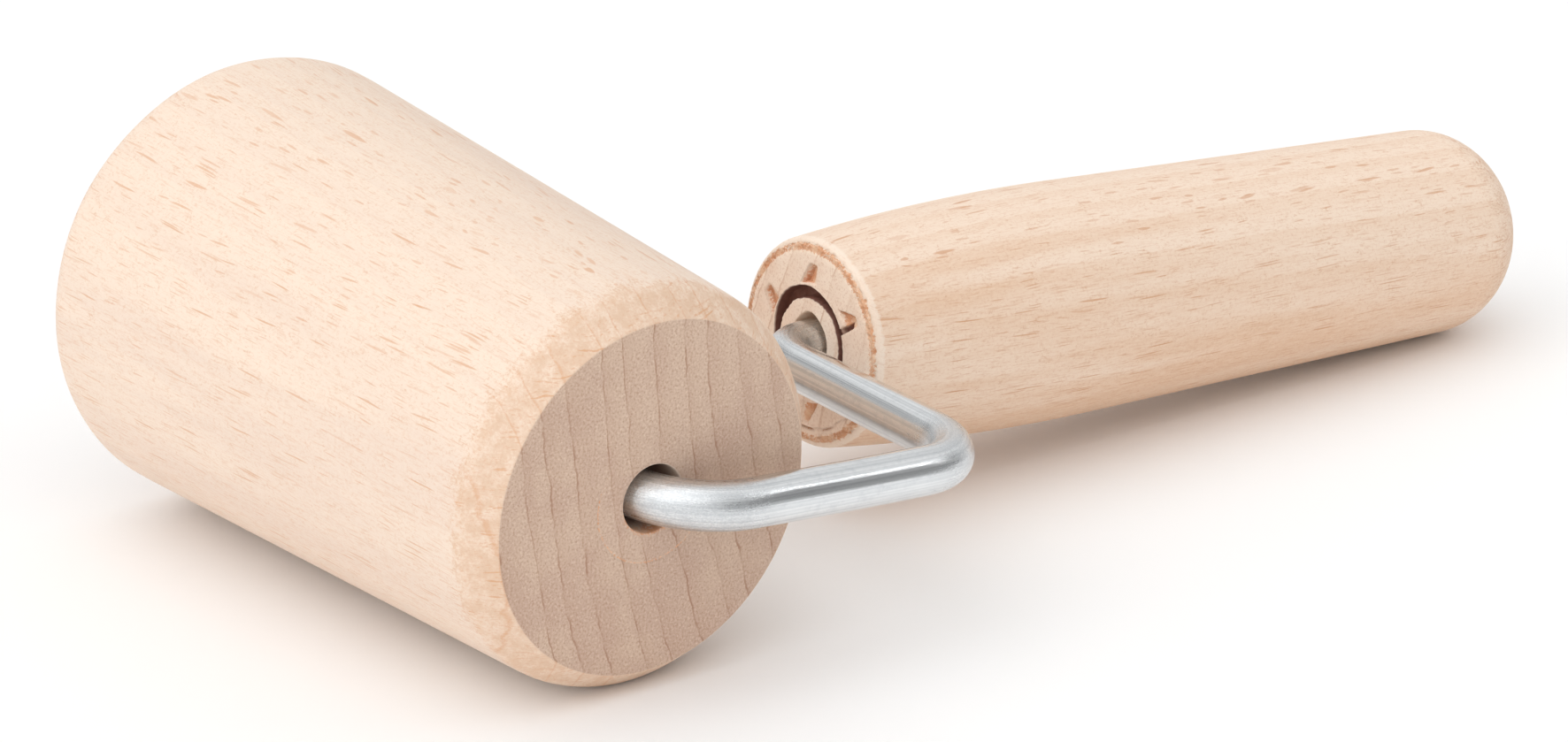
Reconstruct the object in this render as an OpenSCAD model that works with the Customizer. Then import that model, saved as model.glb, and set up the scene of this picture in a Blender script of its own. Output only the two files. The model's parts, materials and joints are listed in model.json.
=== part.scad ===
// One-handed dough roller: a tapered beech roller on a bent steel wire arm with a beech handle.
//
// The parts are drawn on the bench in a frame of their own: X along the axle with the roller's
// narrow face at x = 0, Y from the axle towards the handle, Z up. rest_pose() then sets the whole
// tool down as it lies on a table, on the roller's side and the handle's tip, with the origin
// under the middle of its box.

/* [Roller] */
// Length of the roller, face to face
roller_len = 88; // [70:1:120]
// Diameter at the narrow end, measured outside the bevel
narrow_d = 50; // [44:0.5:56]
// Diameter at the wide end, measured outside the bevel
wide_d = 58; // [56:0.5:66]
// Width of the bevel, across the end face
bevel_w = 3.1; // [1:0.1:5]
// Length of the bevel, along the roller
bevel_len = 3.7; // [1:0.1:6]
// Bore through the roller, which turns loosely on the wire
bore_d = 8.5; // [8.5:0.1:10]
// Diameter of the recess in the wide end
recess_d = 19; // [17:0.5:24]
// Depth of the recess in the wide end
recess_depth = 7; // [7:0.5:12]

/* [Wire arm] */
// Diameter of the wire
wire_d = 6; // [5:0.1:6]
// How far the first leg stands out from the roller's narrow face, to the wire's centre line
arm_out = 5.8; // [5.6:0.1:12]
// From the roller's centre line to the outer corner
corner_reach = 45; // [42:0.5:60]
// From the narrow face back to the handle's centre line
handle_back = 35.2; // [26:0.2:50]
// Bend radius beside the roller, on the wire's centre line
axle_bend_r = 11; // [8:0.2:11]
// Bend radius of the outer corner
corner_bend_r = 8.6; // [6:0.2:12]
// Bend radius at the handle
handle_bend_r = 6.4; // [4.5:0.1:6.6]
// Gap between the handle's face and the wire's last corner
face_gap = 6.7; // [6.7:0.1:12]
// Length of wire driven into the handle
tang_len = 50; // [25:1:80]

/* [Handle] */
// Length of the handle
handle_len = 121; // [100:1:140]
// Diameter of the handle where the wire enters
handle_neck_d = 26.8; // [24:0.2:30]
// Diameter that the handle's long taper starts from, at the neck
handle_root_d = 32.5; // [30:0.5:36]
// Diameter where the rounded tip begins
handle_tip_d = 28.4; // [24:0.2:32]
// Length over which the neck swells out to the full grip
neck_len = 43; // [20:1:60]
// Length of the rounded tip
tip_len = 12; // [8:0.5:16]

/* [Marks of the lathe centre] */
// Inner diameter of the ring pressed into the handle's face
ring_in_d = 11.7; // [9.5:0.1:13]
// Outer diameter of that ring
ring_out_d = 14.2; // [13.4:0.2:16]
// Depth of the ring
ring_depth = 1.8; // [0.5:0.1:3]
// Number of spur marks around the ring
spur_count = 6; // [3:1:8]
// Direction of the first spur mark, turned about the handle
spur_start = 38; // [0:1:60]

/* [Axle end] */
// Outer diameter of the plain washer
washer_d = 13; // [11:0.5:15]
// Thickness of the plain washer
washer_t = 1; // [0.6:0.1:1.6]
// Diameter of the push-on cap's flange
cap_flange_d = 12; // [10:0.5:14]
// End float of the roller on its axle
end_float = 0.5; // [0.4:0.1:1]

/* [Hidden] */
$fn = 96;

beech = "BurlyWood";
zinc = "Silver";
steel = "LightSteelBlue";

wire_r = wire_d / 2;
bore_r = bore_d / 2;
narrow_r = narrow_d / 2;
wide_r = wide_d / 2;
// Press fits bite this much into the wood or the cap
press = 0.05;
// The wire lies low in the loose bore and a little towards its free side
axle_y = -0.9;
axle_z = -0.5;
// Softening of edges
face_edge_r = 0.5;
side_edge_r = 3;
// The ring and the spurs stand on a face that is narrower than the neck by this rough band
rough_band = 0.9;
rough_drop = 0.3;
neck_round = 1.2;
// The bore's mouth in the handle is torn a little wider than the wire
mouth_gap = 0.65;
mouth_depth = 2.5;
// One spur mark: a wedge that is deepest at its outer edge
spur_w = 1.7;
spur_len = 2;
spur_depth = 1.2;
// Push-on cap
cap_wall = 0.6;
cap_flange_t = 0.8;
cap_grip_len = 3;
cap_crown_r = 1.6;
wire_chamfer = 0.5;

// --- Geometry shared by the turned parts --------------------------------------------------

// Points of an arc that rounds the corner b between a and c with radius r
function rounded(a, b, c, r, steps = 8) =
    let (u = (a - b) / norm(a - b),
         v = (c - b) / norm(c - b),
         half = acos(u * v) / 2,
         centre = b + (u + v) / norm(u + v) * r / sin(half),
         from = b + u * r / tan(half) - centre,
         to = b + v * r / tan(half) - centre,
         sweep = 180 - 2 * half)
    [for (i = [0 : steps])
        let (t = i / steps)
        centre + (sin((1 - t) * sweep) * from + sin(t * sweep) * to) / sin(sweep)];

// Turns an outline of [radius, distance along the axis] about the Z axis
module turned(outline) {
    rotate_extrude($fn = 128)
        polygon(outline);
}

// Lays a part that was turned about Z along the X axis, with its zero end at x = 0 and its length towards -X
module along_axle() {
    rotate([0, -90, 0])
        children();
}

// Lays a part that was turned about Z along the Y axis
module along_handle() {
    rotate([-90, 0, 0])
        children();
}

// --- Rest pose ---------------------------------------------------------------------------

// The roller lies on its tapered side, so its axle rises towards the wide end
tilt = atan((wide_r - narrow_r) / (roller_len - 2 * bevel_len));
floor_below_axle = narrow_r * cos(tilt) - bevel_len * sin(tilt);

// The handle's face, and the middle of the ellipsoid that its tip is part of
handle_face = corner_reach + face_gap;
tip_centre = handle_face + handle_len - tip_len;
tip_r = handle_tip_d / 2;

// How far the tip's ellipsoid reaches in a direction whose share along the handle is k
function tip_reach(k) = sqrt(pow(tip_len * k, 2) + pow(tip_r, 2) * (1 - k * k));

// Angle that the arm drops about the axle before the handle's tip touches the table
function settled(angle, steps) = steps == 0 ? angle :
    settled(asin((floor_below_axle + handle_back * sin(tilt) + axle_z * cos(angle) * cos(tilt)
                  - tip_reach(sin(angle) * cos(tilt))) / (tip_centre * cos(tilt))), steps - 1);
droop = settled(4, 12);

// Box of the tool as it lies, from the axle at the narrow face
x_high = arm_out * cos(tilt) + (axle_z * cos(droop) - axle_bend_r * sin(droop)) * sin(tilt) + wire_r;
x_low = -roller_len * cos(tilt) - (wide_r - bevel_w) * sin(tilt);
y_high = tip_centre * cos(droop) + axle_z * sin(droop) + tip_reach(cos(droop));
y_low = -wide_r;

module rest_pose() {
    translate([-(x_high + x_low) / 2, -(y_high + y_low) / 2, floor_below_axle])
        rotate([0, tilt, 0])
            rotate([-droop, 0, 0])
                children();
}

// --- Roller ------------------------------------------------------------------------------

recess_floor = roller_len - recess_depth;

// The outer corners of the outline, from the narrow face to the wide face
narrow_face = [narrow_r - bevel_w, 0];
narrow_side = [narrow_r, bevel_len];
wide_side = [wide_r, roller_len - bevel_len];
wide_face = [wide_r - bevel_w, roller_len];

roller_outline = concat(
    [[bore_r, 0]],
    rounded([bore_r, 0], narrow_face, narrow_side, face_edge_r),
    rounded(narrow_face, narrow_side, wide_side, side_edge_r),
    rounded(narrow_side, wide_side, wide_face, side_edge_r),
    rounded(wide_side, wide_face, [0, roller_len], face_edge_r),
    [[recess_d / 2, roller_len],
     [recess_d / 2, recess_floor],
     [bore_r, recess_floor]]);

module roller() {
    color(beech)
        rest_pose()
            along_axle()
                turned(roller_outline);
}

// --- Wire arm ----------------------------------------------------------------------------

// The washer lies off the recess floor by the end float, with the cap pushed up against it
washer_at = recess_floor + end_float;
cap_at = washer_at + washer_t;
axle_end = cap_at + cap_flange_t + cap_grip_len;

// The wire is a chain: straight legs, with a turn to the left (or right, below zero) after each but the last
turns = [90, 90, -90];
bend_radii = [axle_bend_r, corner_bend_r, handle_bend_r];

// Length that bend i takes off each of the legs that it joins
function setback(i) = bend_radii[i] * tan(abs(turns[i]) / 2);

legs = [axle_end + arm_out - setback(0) - wire_chamfer,
        corner_reach - axle_y - setback(0) - setback(1),
        arm_out + handle_back - setback(1) - setback(2),
        face_gap + tang_len - setback(2) - wire_chamfer];

// A bend of wire that starts at the origin along +X
module bend(radius, turn) {
    if (turn < 0)
        mirror([0, 1, 0])
            bend(radius, -turn);
    else
        translate([0, radius, 0])
            rotate([0, 0, -90])
                rotate_extrude(angle = turn)
                    translate([radius, 0])
                        circle(r = wire_r);
}

// Moves to the end of such a bend, heading the way the wire now runs
module after_bend(radius, turn) {
    side = sign(turn) * radius;
    translate([0, side, 0])
        rotate([0, 0, turn])
            translate([0, -side, 0])
                children();
}

// A cropped, chamfered end of wire that starts at the origin along +X
module cropped_end() {
    rotate([0, 90, 0])
        cylinder(r1 = wire_r - wire_chamfer, r2 = wire_r, h = wire_chamfer);
}

// The chain of legs and bends from leg i to the wire's far end
module wire_from(i) {
    rotate([0, 90, 0])
        cylinder(r = wire_r, h = legs[i]);
    translate([legs[i], 0, 0]) {
        if (i < len(turns)) {
            bend(bend_radii[i], turns[i]);
            after_bend(bend_radii[i], turns[i])
                wire_from(i + 1);
        } else {
            translate([wire_chamfer, 0, 0])
                mirror([1, 0, 0])
                    cropped_end();
        }
    }
}

module arm() {
    color(zinc)
        rest_pose()
            translate([-axle_end, axle_y, axle_z]) {
                cropped_end();
                translate([wire_chamfer, 0, 0])
                    wire_from(0);
            }
}

// --- Handle ------------------------------------------------------------------------------

neck_r = handle_neck_d / 2;
root_r = handle_root_d / 2;
grip_len = handle_len - tip_len;

// Radius of the grip at a distance from the face: a long straight taper, drawn in at the neck
function grip_r(s) =
    root_r + (tip_r - root_r) * s / grip_len
    - (root_r - neck_r) * pow(max(0, 1 - s / neck_len), 2);

grip_steps = 28;
tip_steps = 14;

handle_outline = concat(
    [[0, 0],
     [neck_r - rough_band, 0],
     [neck_r - rough_band + rough_drop, rough_drop]],
    rounded([neck_r - rough_band + rough_drop, rough_drop], [grip_r(neck_round / 2), neck_round / 2],
            [grip_r(neck_round * 2), neck_round * 2], neck_round),
    [for (i = [1 : grip_steps])
        let (s = neck_round * 2 + (grip_len - neck_round * 2) * i / grip_steps)
        [grip_r(s), s]],
    [for (i = [1 : tip_steps])
        let (a = 90 * i / tip_steps)
        [tip_r * cos(a), grip_len + tip_len * sin(a)]]);

// The ring that the lathe's centre pressed into the end grain
module centre_ring() {
    rotate_extrude()
        translate([ring_in_d / 2, -1])
            square([(ring_out_d - ring_in_d) / 2, ring_depth + 1]);
}

// One spur mark: a wedge whose floor slopes down towards the rim
module spur_mark() {
    translate([ring_out_d / 2 + spur_len * 0.3, 0, 0])
        rotate([90, 0, 0])
            linear_extrude(height = spur_w, center = true)
                polygon([[0, -1], [0, 0], [spur_len, spur_depth], [spur_len, -1]]);
}

module handle() {
    color(beech)
        rest_pose()
            translate([-handle_back, handle_face, axle_z])
                along_handle()
                    difference() {
                        turned(handle_outline);
                        translate([0, 0, -1])
                            cylinder(r = wire_r - press, h = tang_len + 2);
                        translate([0, 0, -1])
                            cylinder(r = wire_r + mouth_gap, h = mouth_depth + 1);
                        centre_ring();
                        for (i = [0 : spur_count - 1])
                            rotate([0, 0, -(spur_start + i * 360 / spur_count)])
                                spur_mark();
                    }
}

// --- Axle end ----------------------------------------------------------------------------

washer_bore_r = wire_r + 0.3;

module washer() {
    color(steel)
        rest_pose()
            translate([-washer_at, axle_y, axle_z])
                along_axle()
                    difference() {
                        cylinder(d = washer_d, h = washer_t);
                        translate([0, 0, -1])
                            cylinder(r = washer_bore_r, h = washer_t + 2);
                    }
}

cap_r = wire_r + cap_wall;
cap_height = cap_flange_t + cap_grip_len + cap_wall;

cap_outline = concat(
    [[wire_r - press, 0],
     [cap_flange_d / 2, 0],
     [cap_flange_d / 2, cap_flange_t / 2]],
    [[cap_flange_d / 2 - cap_flange_t / 2, cap_flange_t],
     [cap_r, cap_flange_t]],
    rounded([cap_r, cap_flange_t], [cap_r, cap_height], [0, cap_height], cap_crown_r),
    [[0, cap_height],
     [0, cap_height - cap_wall],
     [wire_r - press, cap_height - cap_wall]]);

module retaining_cap() {
    color(steel)
        rest_pose()
            translate([-cap_at, axle_y, axle_z])
                along_axle()
                    turned(cap_outline);
}

roller();
arm();
handle();
washer();
retaining_cap();
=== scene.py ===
"""Looks of the one-handed dough roller: turned beech roller and handle on a bent galvanised wire."""

import json
import math

import bpy
import numpy as np
from mathutils import Matrix, Vector


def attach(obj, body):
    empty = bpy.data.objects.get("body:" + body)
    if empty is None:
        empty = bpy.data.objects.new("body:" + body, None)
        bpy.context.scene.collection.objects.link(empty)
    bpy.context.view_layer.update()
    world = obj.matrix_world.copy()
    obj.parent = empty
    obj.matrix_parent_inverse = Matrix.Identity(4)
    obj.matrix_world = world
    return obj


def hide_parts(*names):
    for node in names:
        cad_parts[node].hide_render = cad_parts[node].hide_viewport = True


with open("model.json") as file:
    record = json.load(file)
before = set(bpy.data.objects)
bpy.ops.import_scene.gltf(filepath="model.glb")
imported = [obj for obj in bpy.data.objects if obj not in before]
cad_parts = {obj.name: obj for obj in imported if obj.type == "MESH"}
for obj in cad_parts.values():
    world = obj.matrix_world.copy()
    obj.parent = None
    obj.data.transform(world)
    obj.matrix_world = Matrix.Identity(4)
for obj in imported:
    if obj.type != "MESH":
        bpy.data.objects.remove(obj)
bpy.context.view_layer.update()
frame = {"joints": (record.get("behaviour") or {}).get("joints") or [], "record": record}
MM = 0.001

# --- The tool's own frame ----------------------------------------------------------------
# X along the axle towards the narrow end, Y from the axle towards the handle, in millimetres,
# with the roller's narrow face at x = 0. The joint and the grip's mount say where it lies.

ROLLER_LEN = 88.0
SPIN = next(j for j in frame["joints"] if j["name"] == "roller_spin")
GRIP = next(m for m in frame["record"]["mounts"] if m["name"] == "grip")


def tool_frame():
    """The matrix from the tool's own frame, in millimetres, to the row frame, in metres."""
    x_axis = Vector(SPIN["axis"]).normalized()
    y_axis = Vector(GRIP["axis"]).normalized()
    z_axis = x_axis.cross(y_axis)
    origin = Vector(SPIN["pos_m"]) + x_axis * ROLLER_LEN / 2 * MM
    turn = Matrix((x_axis, y_axis, z_axis)).transposed().to_4x4()
    return Matrix.Translation(origin) @ turn @ Matrix.Scale(MM, 4)


TOOL = tool_frame()

# --- Sizes, in millimetres ----------------------------------------------------------------

NARROW_R, WIDE_R = 25.0, 29.0
BEVEL_W, BEVEL_LEN = 3.1, 3.7
FACE_EDGE_R, SIDE_EDGE_R = 0.5, 3.0
BORE_R, BORE_LIP_R = 4.25, 0.25
RECESS_R, RECESS_DEPTH = 9.5, 7.0
RECESS_LIP_R, RECESS_FOOT_R = 0.3, 0.5

WIRE_R = 3.0
AXLE_Y, AXLE_Z = -0.9, -0.5
AXLE_LIFT = 0.45
ARM_OUT, CORNER_REACH, HANDLE_BACK = 5.8, 45.0, 35.2
BEND_RADII = (11.0, 8.6, 6.4)
FACE_GAP, TANG_LEN = 6.7, 50.0
WIRE_CHAMFER = 0.5
WIRE_FLATTER = 0.20
PRESS_FIT = 0.05

HANDLE_LEN, TIP_LEN, NECK_LEN = 121.0, 12.0, 43.0
NECK_R, ROOT_R, TIP_R = 13.4, 16.25, 14.2
ROUGH_BAND, ROUGH_DROP, NECK_ROUND = 0.9, 0.3, 1.2

WASHER_R, WASHER_T, WASHER_BORE_R = 6.5, 1.0, 3.3
WASHER_EDGE_R = 0.22
END_FLOAT = 0.5
CAP_FLANGE_R, CAP_FLANGE_T, CAP_GRIP_LEN, CAP_WALL = 6.0, 0.8, 3.0, 0.6
CAP_EDGE_R, CAP_ROOT_R, CAP_CROWN_R = 0.3, 0.4, 1.6

RECESS_FLOOR = ROLLER_LEN - RECESS_DEPTH
WASHER_AT = RECESS_FLOOR + END_FLOAT
CAP_AT = WASHER_AT + WASHER_T
AXLE_END = CAP_AT + CAP_FLANGE_T + CAP_GRIP_LEN
HANDLE_FACE = CORNER_REACH + FACE_GAP
GRIP_LEN = HANDLE_LEN - TIP_LEN

# --- Mesh building ------------------------------------------------------------------------


def rounded(before, corner, after, radius, steps=8):
    """Points of the arc that rounds a corner of an outline."""
    a, b, c = (np.array(p, float) for p in (before, corner, after))
    u = (a - b) / np.linalg.norm(a - b)
    v = (c - b) / np.linalg.norm(c - b)
    half = math.acos(float(u @ v)) / 2
    centre = b + (u + v) / np.linalg.norm(u + v) * radius / math.sin(half)
    start = b + u * radius / math.tan(half) - centre
    end = b + v * radius / math.tan(half) - centre
    sweep = math.pi - 2 * half
    return [
        centre + (math.sin((1 - t) * sweep) * start + math.sin(t * sweep) * end) / math.sin(sweep)
        for t in np.linspace(0, 1, steps + 1)
    ]


def dense(outline, longest):
    """The outline with its long segments cut into equal ones, none longer than given."""
    points = [np.array(outline[0], float)]
    for a, b in zip(outline, outline[1:]):
        a, b = np.array(a, float), np.array(b, float)
        pieces = max(1, math.ceil(np.linalg.norm(b - a) / longest))
        points += [a + (b - a) * (i + 1) / pieces for i in range(pieces)]
    return points


def waves(angle, seed, lowest, highest, size):
    """A ragged curve round a circle: one sine for each number of waves from lowest to highest, with
    random phases and heights."""
    random = np.random.default_rng(seed)
    total = np.zeros_like(angle)
    for k in range(lowest, highest + 1):
        total += np.sin(k * angle + random.uniform(0, 2 * math.pi)) * random.uniform(0.4, 1)
    return total * size / math.sqrt(highest - lowest + 1)


def step(low, high, x):
    """Smooth rise from 0 at low to 1 at high, or fall where low is above high."""
    t = np.clip((x - low) / (high - low), 0, 1)
    return t * t * (3 - 2 * t)


def bell(x, width):
    """A bump of height 1 round x = 0."""
    return np.exp(-(x / width) ** 2)


def towards(turn, middle, width):
    """A bump round the circle, at an angle in degrees and about that many degrees wide."""
    gap = (np.degrees(turn) - middle + 180) % 360 - 180
    return bell(gap, width)


def revolved(outline, around):
    """The radius, depth and angle of each point of a turned piece, as grids (outline, round)."""
    line = np.array(outline)
    angle = np.linspace(0, 2 * math.pi, around, endpoint=False)
    radius = np.repeat(line[:, :1], around, axis=1)
    depth = np.repeat(line[:, 1:], around, axis=1)
    return radius, depth, np.repeat(angle[None], len(line), axis=0)


def ring_mesh(name, rings, loop=False):
    """A piece of rings of points (ring, point, xyz), given in the tool's own frame. Quads join each ring
    to the next. A loop joins the last to the first, and otherwise both ends are closed at their middle.
    Returns the piece and its points in the tool's own frame."""
    count, around = rings.shape[:2]
    points = list(rings.reshape(-1, 3))
    faces = []
    for i in range(count if loop else count - 1):
        row, after = i * around, (i + 1) % count * around
        faces += [
            (row + k, row + (k + 1) % around, after + (k + 1) % around, after + k)
            for k in range(around)
        ]
    ends = () if loop else ((0, True), ((count - 1) * around, False))
    for row, flip in ends:
        middle = len(points)
        points.append(np.mean(points[row:row + around], axis=0))
        for k in range(around):
            edge = (row + k, row + (k + 1) % around)
            faces.append((edge[1], edge[0], middle) if flip else (*edge, middle))
    mesh = bpy.data.meshes.new(name)
    turn = np.array(TOOL)
    placed = np.array(points) @ turn[:3, :3].T + turn[:3, 3]
    mesh.from_pydata(placed.tolist(), [], faces)
    mesh.polygons.foreach_set("use_smooth", [True] * len(mesh.polygons))
    mesh.update()
    piece = bpy.data.objects.new(name, mesh)
    bpy.context.scene.collection.objects.link(piece)
    outward(mesh)
    return piece, np.array(points)


def outward(mesh):
    """Turns the faces outward, which the sign of the mesh's volume tells."""
    mesh.calc_loop_triangles()
    co = np.zeros(len(mesh.vertices) * 3)
    mesh.vertices.foreach_get("co", co)
    tri = np.zeros(len(mesh.loop_triangles) * 3, int)
    mesh.loop_triangles.foreach_get("vertices", tri)
    corners = co.reshape(-1, 3)[tri.reshape(-1, 3)]
    if np.einsum("ij,ij->i", corners[:, 0], np.cross(corners[:, 1], corners[:, 2])).sum() < 0:
        mesh.flip_normals()


def note(piece, name, values):
    """Stores a number or a vector for each point of the mesh, for its material to read. The middles of
    closed ends come last, and take the last value."""
    values = np.asarray(values, np.float32)
    kind, field = ("FLOAT_VECTOR", "vector") if values.ndim == 2 else ("FLOAT", "value")
    spare = len(piece.data.vertices) - len(values)
    if spare:
        values = np.concatenate([values, np.repeat(values[-1:], spare, axis=0)])
    piece.data.attributes.new(name, kind, "POINT").data.foreach_set(field, values.ravel())


def steepness(outline):
    """How far each point of an outline faces along the axis: 1 on an end face, 0 on the side."""
    line = np.array(outline)
    ahead, behind = np.roll(line, -1, axis=0), np.roll(line, 1, axis=0)
    ahead[-1], behind[0] = line[-1], line[0]
    run = ahead - behind
    return np.abs(run[:, 0]) / np.maximum(np.linalg.norm(run, axis=1), 1e-9)


# --- Shader building ----------------------------------------------------------------------


class Nodes:
    """Short calls that add nodes to one tree. A value is a number, a colour, a vector or a socket."""

    def __init__(self, tree):
        self.tree = tree

    def feed(self, socket, value):
        if isinstance(value, bpy.types.NodeSocket):
            self.tree.links.new(value, socket)
        else:
            socket.default_value = value

    def add(self, kind, settings=None, **inputs):
        made = self.tree.nodes.new(kind)
        for key, value in (settings or {}).items():
            setattr(made, key, value)
        for key, value in inputs.items():
            self.feed(made.inputs[key.replace("_", " ")], value)
        return made

    def stored(self, name):
        return self.add("ShaderNodeAttribute", {"attribute_name": name}).outputs

    def combined(self, kind, operation, *values):
        made = self.add(kind, {"operation": operation})
        for socket, value in zip(made.inputs, values):
            self.feed(socket, value)
        return made.outputs

    def maths(self, operation, *values):
        return self.combined("ShaderNodeMath", operation, *values)[0]

    def times(self, a, b):
        return self.maths("MULTIPLY", a, b)

    def plus(self, a, b):
        return self.maths("ADD", a, b)

    def away(self, x, y):
        """The distance of (x, y) from the origin."""
        return self.maths("SQRT", self.plus(self.maths("POWER", x, 2.0), self.maths("POWER", y, 2.0)))

    def scaled(self, vector, scale):
        return self.combined("ShaderNodeVectorMath", "MULTIPLY", vector, scale)[0]

    def shifted(self, vector, offset):
        return self.combined("ShaderNodeVectorMath", "ADD", vector, offset)[0]

    def joined(self, x, y, z):
        return self.add("ShaderNodeCombineXYZ", X=x, Y=y, Z=z).outputs[0]

    def split(self, vector):
        return self.add("ShaderNodeSeparateXYZ", Vector=vector).outputs

    def noise(self, vector, scale, detail=2.0, roughness=0.5):
        return self.add(
            "ShaderNodeTexNoise", Vector=vector, Scale=scale, Detail=detail, Roughness=roughness
        ).outputs

    def drawn_noise(self, vector, lengthwise, across, detail, roughness=0.5):
        """Noise with one scale along a vector's first axis and another across it, both per mm."""
        return self.noise(self.scaled(vector, (lengthwise, across, across)), 1.0, detail, roughness)

    def cells(self, vector):
        return self.add("ShaderNodeTexVoronoi", Vector=vector, Scale=1.0).outputs

    def spread(self, value, low, high, to_low=0.0, to_high=1.0):
        """The value's stretch from low to high, carried smoothly to to_low and to_high."""
        made = self.add("ShaderNodeMapRange", {"interpolation_type": "SMOOTHSTEP", "clamp": True})
        for key, given in zip(
            ("Value", "From Min", "From Max", "To Min", "To Max"),
            (value, low, high, to_low, to_high),
        ):
            self.feed(made.inputs[key], given)
        return made.outputs[0]

    def mixed(self, share, first, second):
        made = self.add("ShaderNodeMix", {"data_type": "RGBA"})
        self.feed(made.inputs[0], share)
        self.feed(made.inputs[6], (*first, 1) if isinstance(first, tuple) else first)
        self.feed(made.inputs[7], (*second, 1) if isinstance(second, tuple) else second)
        return made.outputs[2]

    def tinted(self, color, share, weight, tint):
        """The colour, mixed towards a tint by share times weight."""
        return self.mixed(self.times(share, weight), color, tint)

    def bump(self, height, distance, strength):
        return self.add("ShaderNodeBump", Height=height, Distance=distance, Strength=strength).outputs[0]


class Look(Nodes):
    """A material with one Principled shader."""

    def __init__(self, name):
        self.material = bpy.data.materials.new(name)
        self.material.use_nodes = True
        super().__init__(self.material.node_tree)
        self.shader = self.tree.nodes["Principled BSDF"]

    def finish(self, color, roughness, normal, **fixed):
        self.feed(self.shader.inputs["Base Color"], color)
        self.feed(self.shader.inputs["Roughness"], roughness)
        self.feed(self.shader.inputs["Normal"], normal)
        for key, value in fixed.items():
            self.shader.inputs[key.replace("_", " ")].default_value = value
        return self.material


def shade(red, green, blue):
    """A linear colour from the 0 to 255 values that a screen shows."""
    def linear(c):
        c = c / 255
        return c / 12.92 if c <= 0.04045 else ((c + 0.055) / 1.055) ** 2.4
    return tuple(linear(c) for c in (red, green, blue))


# --- Beech --------------------------------------------------------------------------------

# Sizes in mm, and the rings' unevenness in ring gaps
RING_GAP, RING_UNEVEN, RING_WIGGLE = 4.1, 1.6, 0.24
GRAIN_WANDER, RAY_RIPPLE = 3.4, 1.6
SLANT_PALE, SLANT_DARK = shade(236, 208, 184), shade(227, 194, 166)
TORN_PALE, TORN_DARK = shade(243, 203, 168), shade(220, 155, 111)
SCAR_AND_SHADE_TINT = shade(104, 50, 36)
FUZZ_TINT = shade(251, 236, 220)
WOOD_IOR, WOOD_RELIEF = 1.45, 0.06 * MM


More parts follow.
